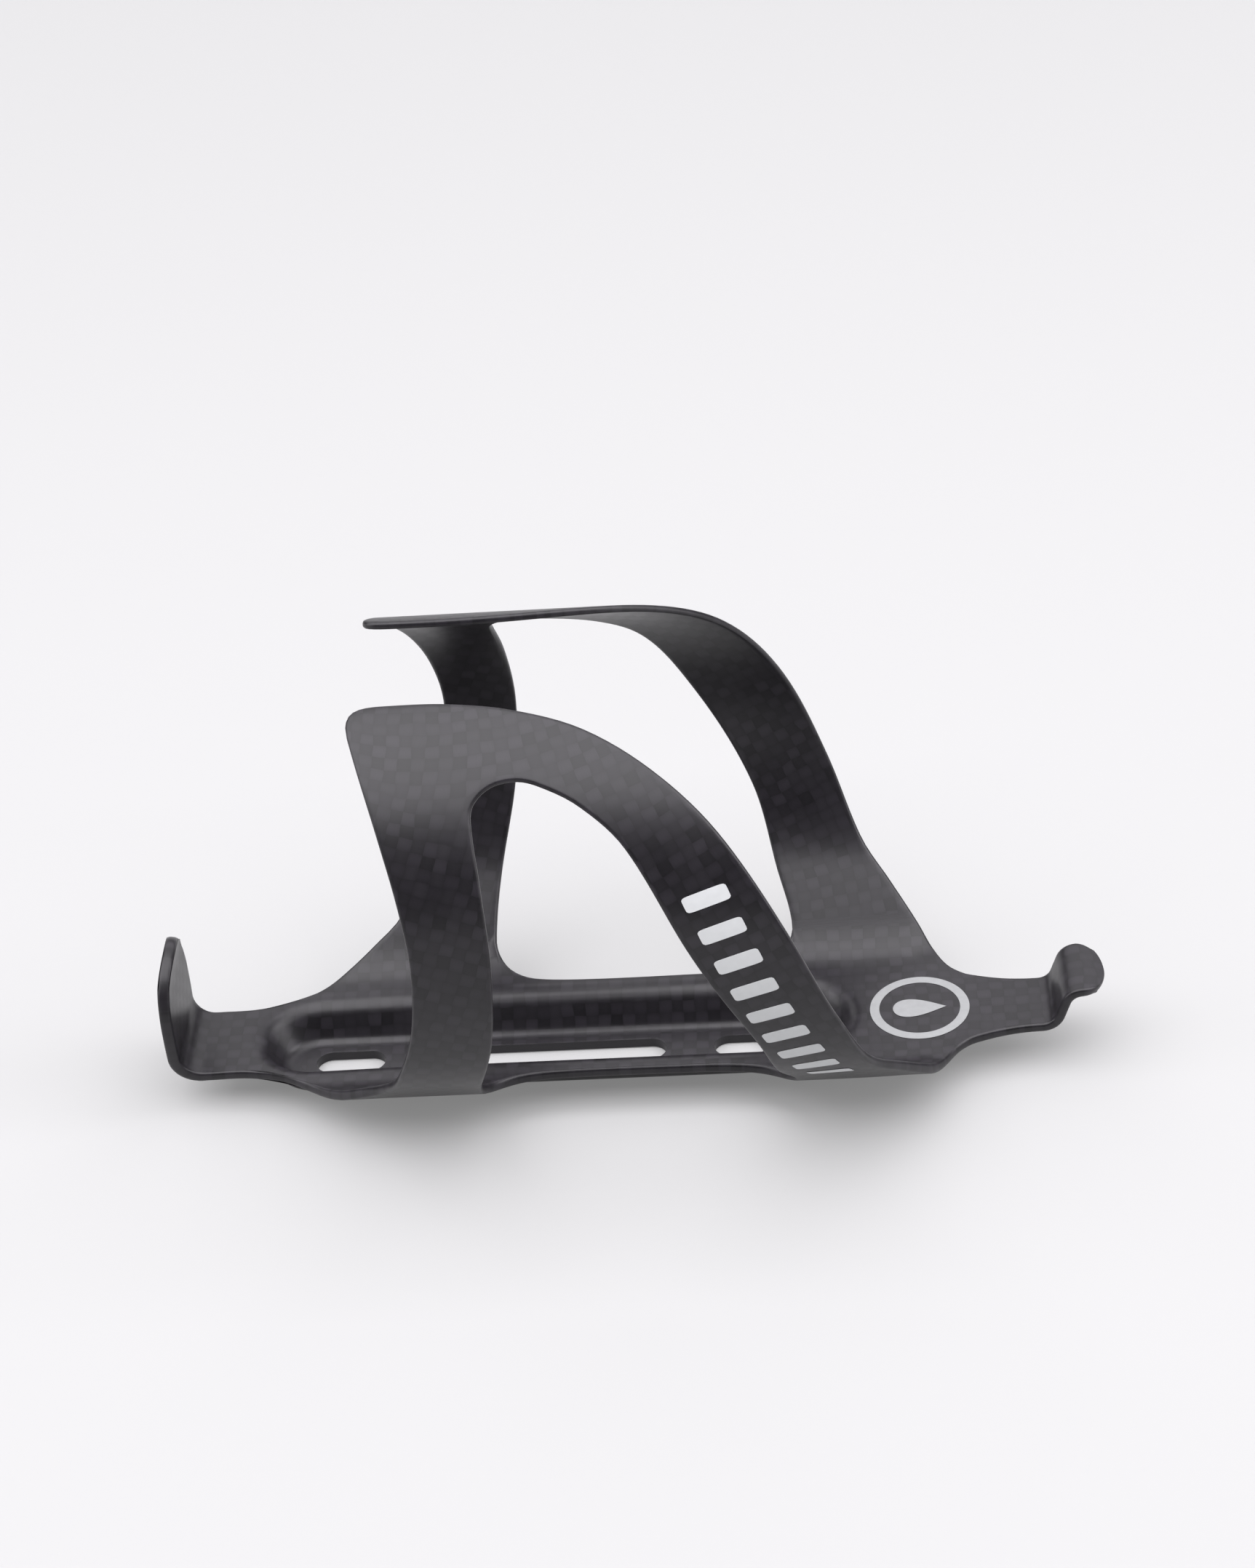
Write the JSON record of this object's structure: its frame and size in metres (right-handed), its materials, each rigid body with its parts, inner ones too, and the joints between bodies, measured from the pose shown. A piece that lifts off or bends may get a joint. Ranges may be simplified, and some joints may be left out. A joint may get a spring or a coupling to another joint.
{
  "type": "water bottle cage",
  "caption": "Moulded carbon-fibre bottle cage: slotted back plate, two wings that wrap the bottle, an upturned bottom stop and a sprung top hook.",
  "frame": {"origin": "centre of the bounding box's base, level with the underside of the channel that seats on the bicycle frame", "axes": "+X along the bottle from its base towards its neck, +Z away from the bicycle frame, Y across with +Y the left wing"},
  "size_m": [0.1507, 0.074, 0.0779],
  "materials": {
    "spine_carbon": "matte clear-coated carbon-fibre twill",
    "stop_carbon": "matte clear-coated carbon-fibre twill",
    "hook_carbon": "matte clear-coated carbon-fibre twill",
    "wing_carbon": "matte clear-coated carbon-fibre twill",
    "print_white": "printed pale grey"
  },
  "bodies": {
    "spine_body": {"spine": "spine_carbon", "bottom_stop": "stop_carbon", "badge_ring": "print_white", "badge_drop": "print_white"},
    "left_wing_body": {"left_wing": "wing_carbon", "left_mark_1": "print_white", "left_mark_2": "print_white", "left_mark_3": "print_white", "left_mark_4": "print_white", "left_mark_5": "print_white", "left_mark_6": "print_white", "left_mark_7": "print_white", "left_mark_8": "print_white", "left_mark_9": "print_white"},
    "right_wing_body": {"right_wing": "wing_carbon", "right_mark_1": "print_white", "right_mark_2": "print_white", "right_mark_3": "print_white", "right_mark_4": "print_white", "right_mark_5": "print_white", "right_mark_6": "print_white", "right_mark_7": "print_white", "right_mark_8": "print_white", "right_mark_9": "print_white"},
    "hook_body": {"top_hook": "hook_carbon"}
  },
  "joints": [
    {"name": "left_wing_flex", "type": "hinge", "parent": "spine_body", "child": "left_wing_body", "pos_m": [0, 0.01895, 0.01032], "axis": [-1, 0, 0], "range_deg": [-2, 4], "stiffness_Nm_per_rad": 3.6},
    {"name": "right_wing_flex", "type": "hinge", "parent": "spine_body", "child": "right_wing_body", "pos_m": [0, -0.01895, 0.01032], "axis": [1, 0, 0], "range_deg": [-2, 4], "stiffness_Nm_per_rad": 3.6},
    {"name": "hook_flex", "type": "hinge", "parent": "spine_body", "child": "hook_body", "pos_m": [0.05595, 0, 0.00707], "axis": [0, 1, 0], "range_deg": [0, 5], "stiffness_Nm_per_rad": 0.6}
  ]
}
